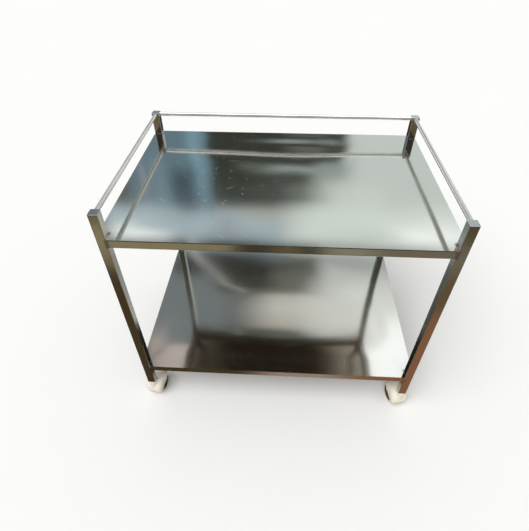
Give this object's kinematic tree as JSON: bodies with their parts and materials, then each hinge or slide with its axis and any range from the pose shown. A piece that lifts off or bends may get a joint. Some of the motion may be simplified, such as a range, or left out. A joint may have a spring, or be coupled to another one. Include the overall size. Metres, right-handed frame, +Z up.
{
  "type": "instrument trolley",
  "caption": "Two-shelf stainless steel instrument trolley: square-tube frame, flat hemmed shelves, round guard rail on three sides, hooded twin-wheel swivel castors.",
  "frame": {"origin": "centre of the footprint, on the floor", "axes": "+Z up, +X along the long side to the right as seen from the open front, +Y from the open front to the rear rail"},
  "size_m": [0.9504, 0.6252, 0.835],
  "materials": {
    "square_tube": "polished stainless steel square tube",
    "end_cap": "welded and ground stainless steel plate",
    "guard_rail": "polished stainless steel round tube",
    "shelf_sheet": "polished stainless steel sheet with fine scratches",
    "leg_plug": "black moulded plug",
    "plated_steel": "zinc-plated steel",
    "castor_hood": "ivory moulded hood",
    "wheel_centre": "dark brown moulded wheel centre",
    "tyre": "ivory synthetic tyre"
  },
  "bodies": {
    "frame": {"post_front_left": "square_tube", "post_cap_front_left": "end_cap", "post_front_right": "square_tube", "post_cap_front_right": "end_cap", "post_rear_left": "square_tube", "post_cap_rear_left": "end_cap", "post_rear_right": "square_tube", "post_cap_rear_right": "end_cap", "upper_bar_front": "square_tube", "upper_bar_rear": "square_tube", "upper_bar_left": "square_tube", "upper_bar_right": "square_tube", "lower_bar_front": "square_tube", "lower_bar_rear": "square_tube", "lower_bar_left": "square_tube", "lower_bar_right": "square_tube", "upper_shelf": "shelf_sheet", "lower_shelf": "shelf_sheet", "guard_rail_left": "guard_rail", "guard_rail_right": "guard_rail", "guard_rail_rear": "guard_rail", "leg_plug_front_left": "leg_plug", "castor_stem_front_left": "plated_steel", "leg_plug_front_right": "leg_plug", "castor_stem_front_right": "plated_steel", "leg_plug_rear_left": "leg_plug", "castor_stem_rear_left": "plated_steel", "leg_plug_rear_right": "leg_plug", "castor_stem_rear_right": "plated_steel"},
    "castor_front_left": {"castor_hood_front_left": "castor_hood", "castor_axle_front_left": "plated_steel"},
    "wheel_front_left_left": {"wheel_centre_front_left_left": "wheel_centre", "tyre_front_left_left": "tyre"},
    "wheel_front_left_right": {"wheel_centre_front_left_right": "wheel_centre", "tyre_front_left_right": "tyre"},
    "castor_front_right": {"castor_hood_front_right": "castor_hood", "castor_axle_front_right": "plated_steel"},
    "wheel_front_right_left": {"wheel_centre_front_right_left": "wheel_centre", "tyre_front_right_left": "tyre"},
    "wheel_front_right_right": {"wheel_centre_front_right_right": "wheel_centre", "tyre_front_right_right": "tyre"},
    "castor_rear_left": {"castor_hood_rear_left": "castor_hood", "castor_axle_rear_left": "plated_steel"},
    "wheel_rear_left_left": {"wheel_centre_rear_left_left": "wheel_centre", "tyre_rear_left_left": "tyre"},
    "wheel_rear_left_right": {"wheel_centre_rear_left_right": "wheel_centre", "tyre_rear_left_right": "tyre"},
    "castor_rear_right": {"castor_hood_rear_right": "castor_hood", "castor_axle_rear_right": "plated_steel"},
    "wheel_rear_right_left": {"wheel_centre_rear_right_left": "wheel_centre", "tyre_rear_right_left": "tyre"},
    "wheel_rear_right_right": {"wheel_centre_rear_right_right": "wheel_centre", "tyre_rear_right_right": "tyre"}
  },
  "joints": [
    {"name": "castor_front_left_swivel", "type": "hinge", "parent": "frame", "child": "castor_front_left", "pos_m": [-0.4445, -0.2925, 0.07], "axis": [0, 0, 1], "continuous": true},
    {"name": "wheel_front_left_left_spin", "type": "hinge", "parent": "castor_front_left", "child": "wheel_front_left_left", "pos_m": [-0.43909, -0.26707, 0.0375], "axis": [0.9781, -0.2079, 0], "continuous": true},
    {"name": "wheel_front_left_right_spin", "type": "hinge", "parent": "castor_front_left", "child": "wheel_front_left_right", "pos_m": [-0.43909, -0.26707, 0.0375], "axis": [0.9781, -0.2079, 0], "continuous": true},
    {"name": "castor_front_right_swivel", "type": "hinge", "parent": "frame", "child": "castor_front_right", "pos_m": [0.4445, -0.2925, 0.07], "axis": [0, 0, 1], "continuous": true},
    {"name": "wheel_front_right_left_spin", "type": "hinge", "parent": "castor_front_right", "child": "wheel_front_right_left", "pos_m": [0.43821, -0.26727, 0.0375], "axis": [0.9703, 0.2419, 0], "continuous": true},
    {"name": "wheel_front_right_right_spin", "type": "hinge", "parent": "castor_front_right", "child": "wheel_front_right_right", "pos_m": [0.43821, -0.26727, 0.0375], "axis": [0.9703, 0.2419, 0], "continuous": true},
    {"name": "castor_rear_left_swivel", "type": "hinge", "parent": "frame", "child": "castor_rear_left", "pos_m": [-0.4445, 0.2925, 0.07], "axis": [0, 0, 1], "continuous": true},
    {"name": "wheel_rear_left_left_spin", "type": "hinge", "parent": "castor_rear_left", "child": "wheel_rear_left_left", "pos_m": [-0.43821, 0.26727, 0.0375], "axis": [-0.9703, -0.2419, 0], "continuous": true},
    {"name": "wheel_rear_left_right_spin", "type": "hinge", "parent": "castor_rear_left", "child": "wheel_rear_left_right", "pos_m": [-0.43821, 0.26727, 0.0375], "axis": [-0.9703, -0.2419, 0], "continuous": true},
    {"name": "castor_rear_right_swivel", "type": "hinge", "parent": "frame", "child": "castor_rear_right", "pos_m": [0.4445, 0.2925, 0.07], "axis": [0, 0, 1], "continuous": true},
    {"name": "wheel_rear_right_left_spin", "type": "hinge", "parent": "castor_rear_right", "child": "wheel_rear_right_left", "pos_m": [0.43909, 0.26707, 0.0375], "axis": [-0.9781, 0.2079, 0], "continuous": true},
    {"name": "wheel_rear_right_right_spin", "type": "hinge", "parent": "castor_rear_right", "child": "wheel_rear_right_right", "pos_m": [0.43909, 0.26707, 0.0375], "axis": [-0.9781, 0.2079, 0], "continuous": true}
  ]
}
